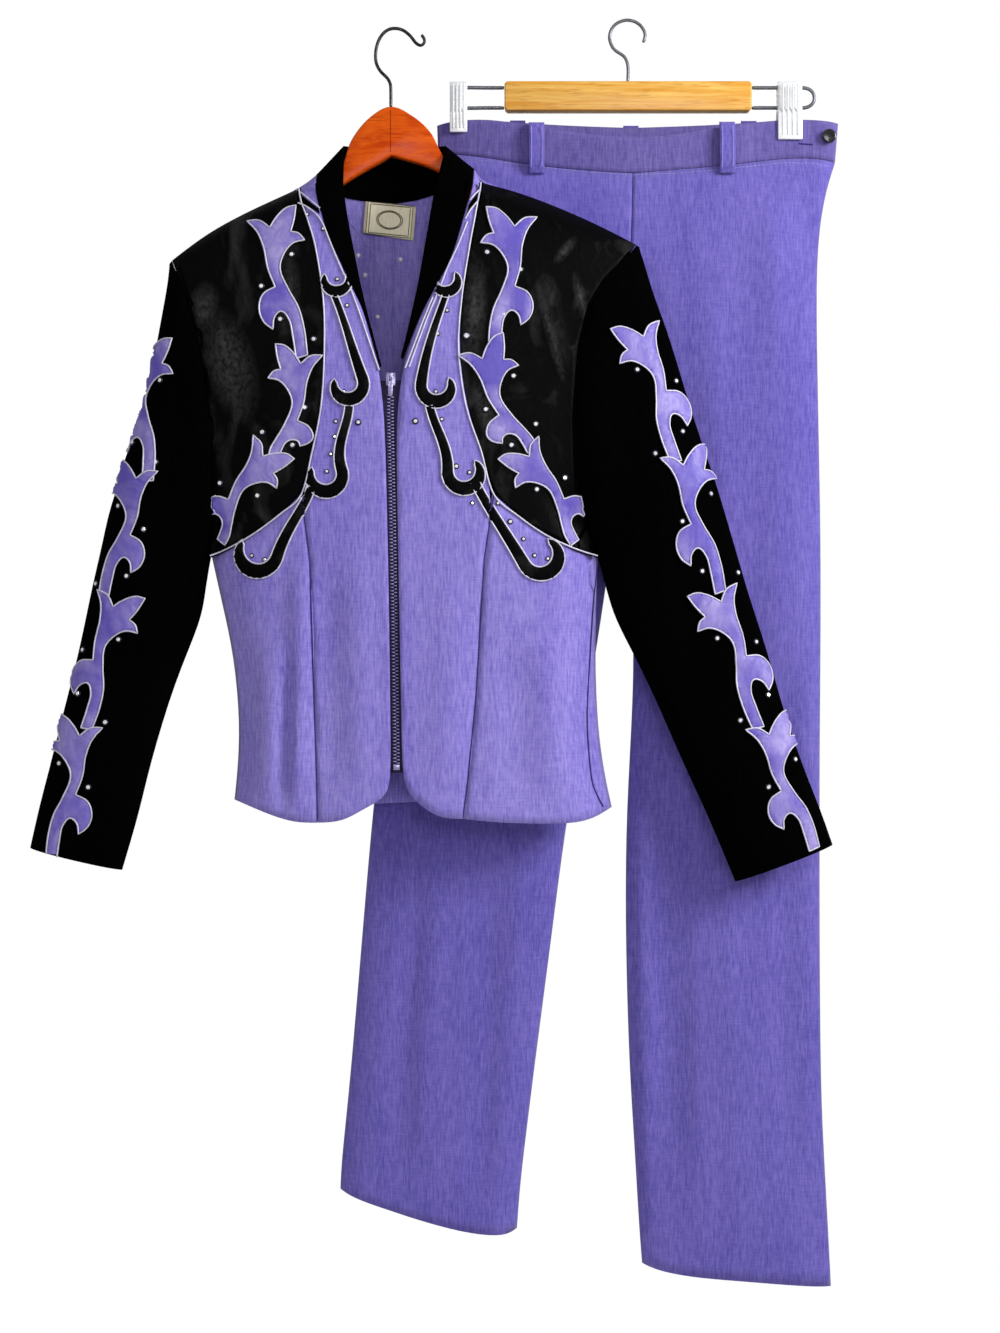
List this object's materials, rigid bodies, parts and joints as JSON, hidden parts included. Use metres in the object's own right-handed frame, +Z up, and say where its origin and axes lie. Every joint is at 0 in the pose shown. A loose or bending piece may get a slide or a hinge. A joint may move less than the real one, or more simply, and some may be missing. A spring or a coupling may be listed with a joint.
{
  "type": "western suit on two hangers",
  "caption": "Violet western jacket with black leather yokes, leather vines and a zip, with matching trousers, each on its hanger.",
  "frame": {"origin": "inside top of the jacket hanger's wire hook, where the suit hangs", "axes": "+Z up, the garments' fronts face -Y, +X towards the wearer's left"},
  "size_m": [0.776, 0.1075, 1.2324],
  "materials": {
    "suiting_jacket": "woven violet suiting, heathered, soft matt",
    "suiting_trousers": "woven violet suiting, heathered, soft matt",
    "leather_black": "smooth black leather with soft wrinkles, satin gloss",
    "cloth_black": "matt black cloth",
    "leather_purple": "violet leather, satin gloss, silver cord along its edge",
    "label": "woven cream label with a plain border",
    "zip_tape": "dark violet zip tape with fine teeth",
    "zip_metal": "violet-tinted bright zip metal",
    "button": "black button",
    "wood_cherry": "cherry-stained varnished wood",
    "wood_honey": "honey varnished wood",
    "wire_dark": "dark wire",
    "chrome": "bright chromed wire, and the small bright stones",
    "clip_plastic": "white grooved plastic"
  },
  "bodies": {
    "suit": {"front_yoke_right": "leather_black", "front_yoke_left": "leather_black", "centre_front_right": "suiting_jacket", "centre_front_left": "suiting_jacket", "side_front_right": "suiting_jacket", "side_front_left": "suiting_jacket", "back_right": "suiting_jacket", "back_left": "suiting_jacket", "sleeve_right_front": "cloth_black", "sleeve_right_back": "cloth_black", "sleeve_left_front": "cloth_black", "sleeve_left_back": "cloth_black", "collar_front_right": "cloth_black", "collar_front_left": "cloth_black", "collar_back": "cloth_black", "neck_label": "label", "zip_tape_right": "zip_tape", "zip_tape_left": "zip_tape", "zip_slider": "zip_metal", "zip_bottom_stop": "zip_metal", "vine_chest_right": "leather_purple", "vine_chest_left": "leather_purple", "vine_sleeve_right": "leather_purple", "vine_sleeve_left": "leather_purple", "scroll_hook_right": "leather_black", "scroll_upper_right": "leather_black", "scroll_middle_right": "leather_black", "scroll_lower_right": "leather_black", "scroll_hook_left": "leather_black", "scroll_upper_left": "leather_black", "scroll_middle_left": "leather_black", "scroll_lower_left": "leather_black", "trouser_front_right": "suiting_trousers", "trouser_front_left": "suiting_trousers", "trouser_back_right": "suiting_trousers", "trouser_back_left": "suiting_trousers", "waistband_front": "suiting_trousers", "waistband_back": "suiting_trousers", "belt_loop_front_right": "suiting_trousers", "belt_loop_front_left": "suiting_trousers", "belt_loop_back_right": "suiting_trousers", "belt_loop_back_centre": "suiting_trousers", "belt_loop_back_left": "suiting_trousers", "waist_button": "button", "jacket_hanger_wood": "wood_cherry", "jacket_hanger_hook": "wire_dark", "trouser_hanger_bar": "wood_honey", "trouser_hanger_hook": "chrome", "rod_loop_right": "chrome", "rod_loop_left": "chrome", "trouser_clip_right": "clip_plastic", "trouser_clip_left": "clip_plastic"},
    "pull_tab": {"zip_pull": "zip_metal"}
  },
  "joints": [
    {"name": "pull_tab_hinge", "type": "hinge", "parent": "suit", "child": "pull_tab", "pos_m": [-0.0012, -0.03956, -0.335], "axis": [-1, 0, 0], "range_deg": [0, 165]}
  ]
}
